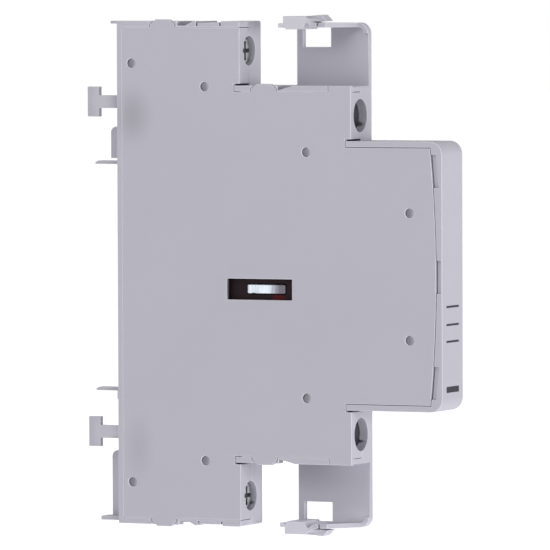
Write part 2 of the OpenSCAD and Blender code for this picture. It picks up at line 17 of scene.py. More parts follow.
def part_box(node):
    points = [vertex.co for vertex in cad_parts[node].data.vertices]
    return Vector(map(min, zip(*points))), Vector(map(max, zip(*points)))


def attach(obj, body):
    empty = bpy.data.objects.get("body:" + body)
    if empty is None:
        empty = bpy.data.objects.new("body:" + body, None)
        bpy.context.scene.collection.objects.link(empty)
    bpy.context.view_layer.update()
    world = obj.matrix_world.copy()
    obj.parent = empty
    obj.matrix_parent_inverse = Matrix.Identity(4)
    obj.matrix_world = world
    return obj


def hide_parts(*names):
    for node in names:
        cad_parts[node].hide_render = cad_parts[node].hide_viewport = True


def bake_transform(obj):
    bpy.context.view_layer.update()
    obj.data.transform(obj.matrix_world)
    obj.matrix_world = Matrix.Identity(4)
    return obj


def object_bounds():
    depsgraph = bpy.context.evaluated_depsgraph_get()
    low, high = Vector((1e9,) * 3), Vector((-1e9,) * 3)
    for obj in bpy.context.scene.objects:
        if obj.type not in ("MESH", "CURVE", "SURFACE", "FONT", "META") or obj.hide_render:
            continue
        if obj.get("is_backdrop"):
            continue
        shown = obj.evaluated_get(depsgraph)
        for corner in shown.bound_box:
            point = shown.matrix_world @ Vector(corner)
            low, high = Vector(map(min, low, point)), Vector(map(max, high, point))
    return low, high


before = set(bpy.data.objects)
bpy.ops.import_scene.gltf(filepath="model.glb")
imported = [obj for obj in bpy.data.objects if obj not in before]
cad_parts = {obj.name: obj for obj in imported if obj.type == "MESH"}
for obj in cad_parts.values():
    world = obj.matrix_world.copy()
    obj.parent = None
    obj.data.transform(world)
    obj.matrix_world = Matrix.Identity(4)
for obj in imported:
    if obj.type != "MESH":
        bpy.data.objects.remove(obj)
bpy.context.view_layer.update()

MM = 0.001
Colour = tuple[float, float, float]
Value = Union["Flow", float]

log = logging.getLogger("contact_block")


class Flow:
    """An output socket of a node tree, with arithmetic that adds Math nodes."""

    def __init__(self, tree: "NodeTree", socket: bpy.types.NodeSocket) -> None:
        """Keeps the socket and the tree that it belongs to."""
        self.tree = tree
        self.socket = socket

    def math(self, operation: str, *values: Value) -> "Flow":
        """Adds a Math node.

        Args:
            operation: Blender's name of the operation.
            values: Its inputs, in order.

        Returns:
            The node's result.
        """
        inputs = dict(enumerate(values))
        return self.tree.add("ShaderNodeMath", {"operation": operation}, inputs)

    def __add__(self, other: Value) -> "Flow":
        """Adds the other value."""
        return self.math("ADD", self, other)

    def __radd__(self, other: Value) -> "Flow":
        """Adds this value to the other."""
        return self.math("ADD", other, self)

    def __sub__(self, other: Value) -> "Flow":
        """Takes the other value away."""
        return self.math("SUBTRACT", self, other)

    def __rsub__(self, other: Value) -> "Flow":
        """Takes this value away from the other."""
        return self.math("SUBTRACT", other, self)

    def __mul__(self, other: Value) -> "Flow":
        """Multiplies by the other value."""
        return self.math("MULTIPLY", self, other)

    def __rmul__(self, other: Value) -> "Flow":
        """Multiplies the other value by this one."""
        return self.math("MULTIPLY", other, self)

    def __truediv__(self, other: Value) -> "Flow":
        """Divides by the other value."""
        return self.math("DIVIDE", self, other)

    def __rtruediv__(self, other: Value) -> "Flow":
        """Divides the other value by this one."""
        return self.math("DIVIDE", other, self)


class NodeTree:
    """A tree whose nodes are made one by one."""

    def __init__(self, tree: bpy.types.NodeTree) -> None:
        """Empties the tree.

        Args:
            tree: Blender's own tree.
        """
        self.nodes = tree.nodes
        self.links = tree.links
        self.nodes.clear()

    def node(self, kind: str, settings: dict[str, Any], inputs: dict[Any, Any]) -> bpy.types.Node:
        """Adds one node.

        Args:
            kind: The node's type.
            settings: Properties that are set first; stops holds a ramp's (place, colour) pairs.
            inputs: Values or links by the socket's name or number.

        Returns:
            The node.
        """
        made = self.nodes.new(kind)
        for key, value in settings.items():
            if key == "stops":
                self._set_stops(made.color_ramp, value)
            else:
                setattr(made, key, value)
        for key, value in inputs.items():
            if isinstance(value, Flow):
                self.links.new(value.socket, made.inputs[key])
            else:
                made.inputs[key].default_value = value
        return made

    def add(self, kind: str, settings: dict[str, Any], inputs: dict[Any, Any], output: Any = 0) -> Flow:
        """Adds one node and returns one of its outputs.

        Args:
            kind: The node's type.
            settings: As for node().
            inputs: As for node().
            output: The output's name or number.

        Returns:
            The output, ready for arithmetic.
        """
        return Flow(self, self.node(kind, settings, inputs).outputs[output])

    @staticmethod
    def _set_stops(ramp: bpy.types.ColorRamp, stops: Sequence[tuple[float, Sequence[float]]]) -> None:
        """Gives a ramp its stops, as (place, colour) pairs."""
        while len(ramp.elements) < len(stops):
            ramp.elements.new(0.5)
        for element, (place, colour) in zip(ramp.elements, stops):
            element.position = place
            element.color = colour


class ShaderTree(NodeTree):
    """The tree of a new material."""

    def __init__(self, name: str) -> None:
        """Makes an empty material.

        Args:
            name: The material's name.
        """
        self.material = bpy.data.materials.new(name)
        self.material.use_nodes = True
        super().__init__(self.material.node_tree)

    def place(self) -> Flow:
        """Returns the Object coordinates, which are the part's own frame."""
        return self.add("ShaderNodeTexCoord", {}, {}, "Object")

    def stretched(self, scale: Sequence[float]) -> Flow:
        """Returns the Object coordinates scaled along each axis.

        Args:
            scale: The scale along X, Y and Z.
        """
        return self.add("ShaderNodeMapping", {}, {"Vector": self.place(), "Scale": tuple(scale)})

    def noise(self, vector: Flow, scale: float, detail: float = 2.0) -> Flow:
        """Adds a noise pattern.

        Args:
            vector: The coordinates.
            scale: Spots for each metre.
            detail: Octaves of finer spots.

        Returns:
            The pattern, about 0.5 on average.
        """
        inputs = {"Vector": vector, "Scale": scale, "Detail": detail, "Roughness": 0.5}
        return self.add("ShaderNodeTexNoise", {}, inputs, "Fac")

    def blend(self, colour_a: Any, colour_b: Any, factor: Value) -> Flow:
        """Mixes two colours.

        Args:
            colour_a: The colour at factor 0.
            colour_b: The colour at factor 1.
            factor: The share of the second colour.

        Returns:
            The mixed colour.
        """
        inputs = {0: factor, 6: opaque(colour_a), 7: opaque(colour_b)}
        return self.add("ShaderNodeMix", {"data_type": "RGBA"}, inputs, 2)

    def bump(self, height: Flow, distance: float, strength: float = 1.0) -> Flow:
        """Turns a height into a normal.

        Args:
            height: The height, from 0 to 1.
            distance: The real height of 1, in metres.
            strength: The share of the effect.
        """
        return self.add("ShaderNodeBump", {}, {"Height": height, "Distance": distance, "Strength": strength})

    def finish(self, inputs: dict[str, Any]) -> bpy.types.Material:
        """Adds the Principled shader and the output.

        Args:
            inputs: The shader's inputs by name.

        Returns:
            The finished material.
        """
        shader = self.add("ShaderNodeBsdfPrincipled", {}, inputs)
        self.node("ShaderNodeOutputMaterial", {}, {"Surface": shader})
        return self.material


def opaque(colour: Any) -> Any:
    """Returns a colour with an alpha of 1, or a link as it is."""
    return colour if isinstance(colour, Flow) else (*colour, 1.0)


@dataclass(frozen=True)
class Patch:
    """A soft-edged patch where a surface has another tone, used for painted light and shade and for the lug's chip.

    Attributes:
        centre: Its centre.
        half: Its half size along each axis.
        depth: The share of the other tone at its centre.
        core: The share of its size that keeps the full depth.
        tone: The other tone, linear.
    """

    centre: tuple[float, float, float]
    half: tuple[float, float, float]
    depth: float
    core: float = 0.0
    tone: Colour = (0.10, 0.10, 0.11)

    def share(self, tree: "ShaderTree") -> Flow:
        """Returns the share of the other tone at each point.

        Args:
            tree: The material's tree.
        """
        offset = tree.add("ShaderNodeVectorMath", {"operation": "SUBTRACT"}, {0: tree.place(), 1: self.centre})
        scale = tuple(1.0 / half for half in self.half)
        scaled = tree.add("ShaderNodeVectorMath", {"operation": "MULTIPLY"}, {0: offset, 1: scale})
        reach = tree.add("ShaderNodeVectorMath", {"operation": "LENGTH"}, {0: scaled}, "Value")
        limits = {"Value": reach, "From Min": self.core, "From Max": 1.0, "To Min": self.depth, "To Max": 0.0}
        return tree.add("ShaderNodeMapRange", {"interpolation_type": "SMOOTHSTEP"}, limits)


@dataclass(frozen=True)
class MouldedPlastic:
    """Matt moulded plastic with a fine eroded grain.

    Attributes:
        name: The material's name.
        colour: Its colour, linear.
        roughness: Its mean roughness.
        grain: Height of the fine grain.
        mottle: Share by which the colour wanders over a few millimetres.
        specular: Its specular level.
        patches: Where painted light or shade gives it another tone.
    """

    name: str
    colour: Colour
    roughness: float = 0.5
    grain: float = 0.004 * MM
    mottle: float = 0.03
    specular: float = 0.3
    patches: tuple[Patch, ...] = ()

    def material(self) -> bpy.types.Material:
        """Builds the material."""
        tree = ShaderTree(self.name)
        place = tree.place()
        wander = tree.noise(place, 55.0, 3.0)
        speck = tree.noise(place, 2600.0, 2.0)
        light = 1.0 + (wander - 0.5) * (2.0 * self.mottle) + (speck - 0.5) * self.mottle
        black = (0.0, 0.0, 0.0)
        double = tuple(2.0 * c for c in self.colour)
        colour = tree.blend(black, double, light * 0.5)
        # Painted light and shade from the patches.
        for patch in self.patches:
            colour = tree.blend(colour, patch.tone, patch.share(tree))
        grain = tree.noise(place, 7000.0, 1.0)
        return tree.finish({
            "Base Color": colour,
            "Roughness": self.roughness + (wander - 0.5) * 0.12,
            "Specular IOR Level": self.specular,
            "Normal": tree.bump(grain, self.grain, 0.6),
        })


@dataclass(frozen=True)
class PolishedBar:
    """The drive lug's bright metal, streaked across, with painted shade that darkens it towards its front end.

    Attributes:
        name: The material's name.
        colour: Its colour where it is clean, linear.
        shaded_end: Its colour at the front end, where painted shade darkens it, linear.
        streak: Its colour in a streak, linear.
        shade_start_y: Where the painted shade starts, along Y.
        shade_full_y: Where the painted shade is full, along Y.
        chip: A dark chip in its lower edge.
        roughness: Its mean roughness.
    """

    name: str
    colour: Colour
    shaded_end: Colour
    streak: Colour
    shade_start_y: float
    shade_full_y: float
    chip: Patch
    roughness: float = 0.25

    def material(self) -> bpy.types.Material:
        """Builds the material."""
        tree = ShaderTree(self.name)
        depth = tree.add("ShaderNodeSeparateXYZ", {}, {0: tree.place()}, "Y")
        limits = {"Value": depth, "From Min": self.shade_start_y, "From Max": self.shade_full_y}
        end_shade = tree.add("ShaderNodeMapRange", {"interpolation_type": "SMOOTHSTEP"}, limits)
        lines = tree.noise(tree.stretched((200.0, 2200.0, 260.0)), 1.0, 2.0)
        sharp = {"Value": lines, "From Min": 0.48, "From Max": 0.66}
        streaks = tree.add("ShaderNodeMapRange", {}, sharp)
        colour = tree.blend(self.colour, self.streak, streaks * 0.6)
        # Painted shade: darker towards the lug's front end.
        colour = tree.blend(colour, self.shaded_end, end_shade)
        colour = tree.blend(colour, (0.05, 0.05, 0.06), self.chip.share(tree))
        return tree.finish({
            "Base Color": colour,
            "Metallic": 1.0,
            "Roughness": self.roughness + streaks * 0.12,
            "Normal": tree.bump(lines, 0.01 * MM, 0.8),
        })


@dataclass(frozen=True)
class PlatedMetal:
    """Bare or plated metal, with fine lines along one axis.

    Attributes:
        name: The material's name.
        colour: Its colour, linear.
        roughness: Its mean roughness.
        lines: Scale of the lines along X, Y and Z, for each metre.
        line_depth: Height of the lines.
    """

    name: str
    colour: Colour
    roughness: float = 0.3
    lines: tuple[float, float, float] = (300.0, 300.0, 300.0)
    line_depth: float = 0.003 * MM

    def material(self) -> bpy.types.Material:
        """Builds the material."""
        tree = ShaderTree(self.name)
        lines = tree.noise(tree.stretched(self.lines), 1.0, 3.0)
        cloud = tree.noise(tree.place(), 900.0, 2.0)
        dim = tuple(0.82 * c for c in self.colour)
        return tree.finish({
            "Base Color": tree.blend(dim, self.colour, cloud * 1.2),
            "Metallic": 1.0,
            "Roughness": self.roughness + (lines - 0.5) * 0.25,
            "Normal": tree.bump(lines, self.line_depth, 0.7),
        })


def painted_pin_shade() -> tuple[Patch, ...]:
    """Returns painted shade on the faces of the cover's pins, which lie below its surface."""
    places = ((-53.8, 10.6), (-35.0, 20.5), (-16.3, 31.4), (-2.7, 35.4))
    half = (0.35 * MM, 0.95 * MM, 0.95 * MM)
    return tuple(
        Patch((-3.9 * MM, (y + 0.4) * MM, side * z * MM), half, 0.52, 0.4) for y, z in places for side in (-1, 1))


def painted_light_and_shade() -> tuple[Patch, ...]:
    """Returns painted light and shade: darker upper parts of the flags' inner sides, a lighter lower part of the
    lower flag, and lighter snap blocks, T hooks and front screw holes.
    """
    # Tone of the painted light; the patches without it take the default dark tone as painted shade.
    light = (0.85, 0.84, 0.90)
    flags = (
        Patch((3.2 * MM, -37.5 * MM, 42.0 * MM), (0.9 * MM, 9.0 * MM, 7.0 * MM), 0.36),
        Patch((3.2 * MM, -33.3 * MM, -32.5 * MM), (0.9 * MM, 10.0 * MM, 5.5 * MM), 0.34),
        Patch((3.2 * MM, -38.0 * MM, -42.5 * MM), (0.9 * MM, 8.0 * MM, 5.0 * MM), 0.5, 0.0, light),
    )
    blocks = tuple(
        Patch((0.0, -29.0 * MM, z * MM), (4.2 * MM, 8.0 * MM, 3.4 * MM), 0.36, 0.75, light) for z in (42.6, -43.0))
    hooks = tuple(
        Patch((0.0, 4.5 * MM, z * MM), (6.0 * MM, 3.0 * MM, 5.0 * MM), 0.22, 0.4, light) for z in (29.2, -27.4))
    holes = tuple(
        Patch((0.0, -39.5 * MM, z * MM), (4.2 * MM, 3.6 * MM, 4.2 * MM), 0.7, 0.7, light) for z in (26.7, -26.7))
    return flags + blocks + hooks + holes


class Finish(Enum):
    """The finishes of the block's pieces."""

    HOUSING = MouldedPlastic(
        "light_grey_moulding", (0.505, 0.494, 0.560),
        patches=(
            # Two soft darker patches on the cover's face: painted shade.
            Patch((-4.4 * MM, -2.9 * MM, 26.6 * MM), (2.0 * MM, 4.6 * MM, 6.4 * MM), 0.27),
            Patch((-4.4 * MM, -3.9 * MM, -29.6 * MM), (2.0 * MM, 3.6 * MM, 7.5 * MM), 0.14),
            # A painted shadow on the side wall of the cover's slot.
            Patch((-3.6 * MM, -20.35 * MM, -2.5 * MM), (0.75 * MM, 0.12 * MM, 3.0 * MM), 0.95, 0.6),
            *painted_pin_shade(),
            *painted_light_and_shade(),
        ),
    )
    # A lighter colour for the rounded edge strips: a painted highlight along the edges.
    EDGE = MouldedPlastic("painted_edge_highlight", (0.66, 0.65, 0.71), 0.4)
    CARRIER = MouldedPlastic(
        "dark_red_moulding", (0.022, 0.011, 0.014), 0.45, mottle=0.2, specular=0.12,
        # A lighter patch on the carrier: painted light on a lit face.
        patches=(Patch((-2.8 * MM, -29.2 * MM, -4.0 * MM), (1.0 * MM, 1.8 * MM, 1.1 * MM), 0.9, 0.2,
                       (0.11, 0.008, 0.011)),),
    )
    LUG = PolishedBar(
        "polished_lug", (0.70, 0.77, 0.83), (0.16, 0.15, 0.18), (0.42, 0.43, 0.50), -26.9 * MM, -29.8 * MM,
        Patch((-3.0 * MM, -24.7 * MM, -3.3 * MM), (0.5 * MM, 0.55 * MM, 0.3 * MM), 0.9, 0.4),
    )
    INK = MouldedPlastic("print_ink", (0.02, 0.02, 0.03), 0.6, mottle=0.05)
    ZINC = PlatedMetal("bright_zinc", (0.50, 0.52, 0.54), 0.30, (700.0, 200.0, 700.0), 0.01 * MM)
    CLAMP = PlatedMetal("folded_steel", (0.56, 0.57, 0.60), 0.38, (150.0, 1200.0, 1200.0))
    COPPER = PlatedMetal("stamped_copper", (0.74, 0.42, 0.24), 0.34, (1500.0, 150.0, 150.0))
    SILVER = PlatedMetal("bright_silver", (0.90, 0.91, 0.94), 0.24, (300.0, 2600.0, 300.0), 0.006 * MM)
    WIRE = PlatedMetal("spring_wire", (0.62, 0.62, 0.64), 0.3)


class Wardrobe:
    """Builds each finish once and dresses objects in it."""

    def __init__(self) -> None:
        """Starts with no material built."""
        self._built: dict[Finish, bpy.types.Material] = {}

    def material(self, finish: Finish) -> bpy.types.Material:
        """Returns a finish's material, built on its first use.

        Args:
            finish: The finish that is wanted.
        """
        if finish not in self._built:
            self._built[finish] = finish.value.material()
        return self._built[finish]

    def dress(self, obj: bpy.types.Object, finish: Finish) -> None:
        """Puts a finish on every slot of an object.

        Args:
            obj: The object.
            finish: Its finish.
        """
        if not obj.material_slots:
            obj.data.materials.append(None)
        for slot in obj.material_slots:
            slot.material = self.material(finish)


@dataclass
class EdgeRounder:
    """Copies a node of the frame as one closed mesh whose outer edges are softly rounded.

    Attributes:
        neighbours: The nodes that can hide an edge from the outside.
        width: Width of the rounded strip along an edge.
        segments: Faces across the strip.
        edge_deg: Smallest angle between faces that counts as an edge.
        sharp_deg: Smallest angle that stays sharp in the shading.
        merge: Distance within which corners are one.
        lift: Distance from an edge at which its view of the outside is tested.
    """

    neighbours: Sequence[str]
    width: float = 0.1 * MM
    segments: int = 2
    edge_deg: float = 32.0
    sharp_deg: float = 50.0
    merge: float = 0.0005 * MM
    lift: float = 0.03 * MM

    def __post_init__(self) -> None:
        """Prepares the rays and the solids that they can hit."""
        self._rays = [self._ray(i, 24) for i in range(24)]
        points: list[Vector] = []
        faces: list[list[int]] = []
        for node in self.neighbours:
            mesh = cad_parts[node].data
            faces += [[v + len(points) for v in face.vertices] for face in mesh.polygons]
            points += [vertex.co.copy() for vertex in mesh.vertices]
        self._solids = BVHTree.FromPolygons(points, faces)

    @staticmethod
    def _ray(number: int, count: int) -> Vector:
        """Returns one of a number of directions spread evenly over a sphere."""
        height = 1.0 - (2.0 * number + 1.0) / count
        turn = number * math.pi * (3.0 - math.sqrt(5.0))
        flat = math.sqrt(1.0 - height * height)
        return Vector((flat * math.cos(turn), flat * math.sin(turn), height))

    def copy(self, node: str, name: str, width: Optional[float] = None) -> bpy.types.Object:
        """Makes the rounded copy.

        Args:
            node: The frame's node.
            name: The new piece's name.
            width: Width of the rounded strip, if it is another one.

        Returns:
            The piece, at the origin, with a first material for its faces and a second for its strips.
        """
        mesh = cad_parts[node].data.copy()
        mesh.materials.clear()
        for _ in range(2):
            mesh.materials.append(None)
        self._prepare(mesh)
        obj = bpy.data.objects.new(name, mesh)
        bpy.context.scene.collection.objects.link(obj)
        bevel = obj.modifiers.new("edges", "BEVEL")
        bevel.width = width or self.width
        bevel.segments = self.segments
        bevel.limit_method = "WEIGHT"
        bevel.use_clamp_overlap = False
        # The strips take the second material; on the mouldings that is a painted highlight.
        bevel.material = 1
        settle(obj)
        self._shade(obj)
        return obj

    def _prepare(self, mesh: bpy.types.Mesh) -> None:
        """Joins the loose triangles, melts flat faces together and marks the edges to round."""
        work = bmesh.new()
        work.from_mesh(mesh)
        bmesh.ops.remove_doubles(work, verts=work.verts, dist=self.merge)
        bmesh.ops.dissolve_limit(work, angle_limit=math.radians(0.5), verts=work.verts, edges=work.edges)
        weight = work.edges.layers.float.new("bevel_weight_edge")
        for edge in work.edges:
            edge[weight] = float(self._rounds(edge))
        work.to_mesh(mesh)
        work.free()
        mesh.update()

    def _rounds(self, edge: bmesh.types.BMEdge) -> bool:
        """Tells whether an edge stands out and can be seen from the outside."""
        if len(edge.link_faces) != 2 or edge.calc_face_angle_signed() < math.radians(self.edge_deg):
            return False
        out = (edge.link_faces[0].normal + edge.link_faces[1].normal).normalized()
        a, b = (vertex.co for vertex in edge.verts)
        rays = [ray for ray in self._rays if ray.dot(out) > 0.2]
        for share in (0.1, 0.5, 0.9):
            start = a.lerp(b, share) + out * self.lift
            if any(self._solids.ray_cast(start, ray)[0] is None for ray in rays):
                return True
        return False

    def _shade(self, obj: bpy.types.Object) -> None:
        """Shades the strips smooth and the flat faces flat."""
        mesh = obj.data
        mesh.polygons.foreach_set("use_smooth", [True] * len(mesh.polygons))
        mesh.set_sharp_from_angle(angle=math.radians(self.sharp_deg))
        normals = obj.modifiers.new("normals", "WEIGHTED_NORMAL")
        normals.keep_sharp = True
        settle(obj)


def settle(obj: bpy.types.Object) -> None:
    """Turns an object's modifiers into a plain mesh and removes them.

    Args:
        obj: The object, whose mesh is replaced.
    """
    graph = bpy.context.evaluated_depsgraph_get()
    mesh = bpy.data.meshes.new_from_object(obj.evaluated_get(graph), depsgraph=graph)
    obj.modifiers.clear()
    obj.data = mesh


def open_edges(mesh: bpy.types.Mesh) -> int:
    """Returns how many edges of a mesh don't join two faces."""
    work = bmesh.new()
    work.from_mesh(mesh)
    count = sum(1 for edge in work.edges if len(edge.link_faces) != 2)
    work.free()
    return count


class GeometryTree(NodeTree):
    """A geometry tree with named inputs, which makes one kind of piece."""

    KINDS = {float: "NodeSocketFloat", int: "NodeSocketInt", tuple: "NodeSocketVector",
             bpy.types.Material: "NodeSocketMaterial"}

    def __init__(self, name: str, inputs: dict[str, type]) -> None:
        """Makes an empty tree.

        Args:
            name: The tree's name.
            inputs: The kind of each named input.
        """
        self.group = bpy.data.node_groups.new(name, "GeometryNodeTree")
        super().__init__(self.group)
        for label, kind in inputs.items():
            self.group.interface.new_socket(label, in_out="INPUT", socket_type=self.KINDS[kind])
        self.group.interface.new_socket("Geometry", in_out="OUTPUT", socket_type="NodeSocketGeometry")
        self.entry = self.nodes.new("NodeGroupInput")

    def given(self, label: str) -> Flow:
        """Returns one of the tree's own inputs.

        Args:
            label: The input's name.
        """
        return Flow(self, self.entry.outputs[label])

    def vector(self, x: Value, y: Value, z: Value) -> Flow:
        """Returns a vector of three values."""
        return self.add("ShaderNodeCombineXYZ", {}, {0: x, 1: y, 2: z})

    def moved(self, geometry: Flow, offset: Any, turn: Sequence[float] = (0.0, 0.0, 0.0)) -> Flow:
        """Turns and then moves a geometry.

        Args:
            geometry: What is moved.
            offset: How far.
            turn: The angles about X, Y and Z.
        """
        inputs = {"Geometry": geometry, "Translation": offset, "Rotation": tuple(turn)}
        return self.add("GeometryNodeTransform", {}, inputs)

    def joined(self, *parts: Flow) -> Flow:
        """Joins geometries into one."""
        join = self.nodes.new("GeometryNodeJoinGeometry")
        for part in reversed(parts):
            self.links.new(part.socket, join.inputs[0])
        return Flow(self, join.outputs[0])

    def cut(self, body: Flow, *tools: Flow) -> Flow:
        """Cuts the tools out of a closed body."""
        cutter = self.node("GeometryNodeMeshBoolean", {"operation": "DIFFERENCE"}, {"Mesh 1": body})
        for tool in tools:
            self.links.new(tool.socket, cutter.inputs["Mesh 2"])
        return Flow(self, cutter.outputs["Mesh"])

    def helix(self, radius: Value, turns: Value, steps: int, height: Callable[[Flow], Flow]) -> Flow:
        """Makes a helix about Z.

        Args:
            radius: Its radius.
            turns: How many turns it has.
            steps: Straight steps for each turn.
            height: Gives the height from the share of the way, 0 to 1.

        Returns:
            The helix, as a curve.
        """
        count = self.add("ShaderNodeMath", {"operation": "CEIL"}, {0: turns * float(steps)}) + 1.0
        line = self.add("GeometryNodeMeshLine", {}, {"Count": count})
        index = self.add("GeometryNodeInputIndex", {}, {})
        share = index / (count - 1.0)
        angle = share * turns * (2.0 * math.pi)
        cosine = self.add("ShaderNodeMath", {"operation": "COSINE"}, {0: angle})
        sine = self.add("ShaderNodeMath", {"operation": "SINE"}, {0: angle})
        spot = self.vector(cosine * radius, sine * radius, height(share))
        shaped = self.add("GeometryNodeSetPosition", {}, {"Geometry": line, "Position": spot})
        return self.add("GeometryNodeMeshToCurve", {}, {"Mesh": shaped})

    def swept(self, curve: Flow, radius: Value, sides: int) -> Flow:
        """Sweeps a round or many-sided section along a curve and closes its ends."""
        section = self.add("GeometryNodeCurvePrimitiveCircle", {}, {"Resolution": sides, "Radius": radius})
        inputs = {"Curve": curve, "Profile Curve": section, "Fill Caps": True}
        return self.add("GeometryNodeCurveToMesh", {}, inputs)

    def close(self, geometry: Flow, material: Flow) -> None:
        """Ends the tree with real meshes that carry their material.

        Args:
            geometry: What the tree makes.
            material: Its material.
        """
        real = self.add("GeometryNodeRealizeInstances", {}, {"Geometry": geometry})
        dressed = self.add("GeometryNodeSetMaterial", {}, {"Geometry": real, "Material": material})
        out = self.nodes.new("NodeGroupOutput")
        self.links.new(dressed.socket, out.inputs["Geometry"])

    def grow(self, name: str, values: dict[str, Any], smooth_deg: float) -> bpy.types.Object:
        """Makes one piece with the tree.

        Args:
            name: The piece's name.
            values: The tree's inputs by name.
            smooth_deg: Largest angle between faces that is shaded smooth.

        Returns:
            The piece, as a plain mesh at the origin.
        """
        obj = bpy.data.objects.new(name, bpy.data.meshes.new(name))
        bpy.context.scene.collection.objects.link(obj)
        modifier = obj.modifiers.new("grow", "NODES")
        modifier.node_group = self.group
        for item in self.group.interface.items_tree:
            if item.in_out == "INPUT":
                modifier[item.identifier] = values[item.name]
        settle(obj)
        mesh = obj.data
        mesh.polygons.foreach_set("use_smooth", [True] * len(mesh.polygons))
        mesh.set_sharp_from_angle(angle=math.radians(smooth_deg))
        return obj


@dataclass
class Housing:
    """The two mouldings of the housing.

    Attributes:
        wardrobe: Where the finishes come from.
        shells: The frame's two mouldings.
        body: The frame's body on which the housing rides.
        lug_round: Width of the rounded strip along the lug's edges.
    """

    wardrobe: Wardrobe
    shells: tuple[str, ...] = ("base_shell", "cover_plate")
    body: str = "housing"
    lug_round: float = 0.3 * MM

    def build(self) -> None:
        """Replaces the base shell, the cover and the lug that shows through it with rounded copies."""
        rounder = EdgeRounder(self.shells)
        for node in self.shells:
            shell = rounder.copy(node, f"moulded_{node}")
            self._place(shell, node, self.body, Finish.HOUSING)
            # The strips get the lighter edge colour, a painted highlight.
            shell.material_slots[1].material = self.wardrobe.material(Finish.EDGE)
        lug = rounder.copy("drive_lug", "polished_drive_lug", self.lug_round)
        self._place(lug, "drive_lug", "carrier", Finish.LUG)

    def _place(self, piece: bpy.types.Object, node: str, body: str, finish: Finish) -> None:
        """Dresses a rounded copy and puts it in its node's place."""
        self.wardrobe.dress(piece, finish)
        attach(piece, body)
        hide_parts(node)
        log.info("%s: %d faces, %d open edges", piece.name, len(piece.data.polygons), open_edges(piece.data))


@dataclass
class Inside:
    """The mechanism and the clamps, which keep the frame's shapes.

    Attributes:
        wardrobe: Where the finishes come from.
    """

    wardrobe: Wardrobe

    def build(self) -> None:
        """Dresses each node of the mechanism by its name."""
        for name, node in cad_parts.items():
            finish = self._finish_of(name)
            if finish:
                self.wardrobe.dress(node, finish)
                log.info("%s: %s", name, finish.name)

    @staticmethod
    def _finish_of(name: str) -> Optional[Finish]:
        """Returns the finish of a node, or None for one that a piece replaces."""
        words = {
            "carrier": Finish.CARRIER, "rivet": Finish.SILVER,
            "bridge": Finish.COPPER, "strip": Finish.COPPER, "cage": Finish.CLAMP, "pressure": Finish.CLAMP,
        }
        return next((finish for word, finish in words.items() if word in name), None)


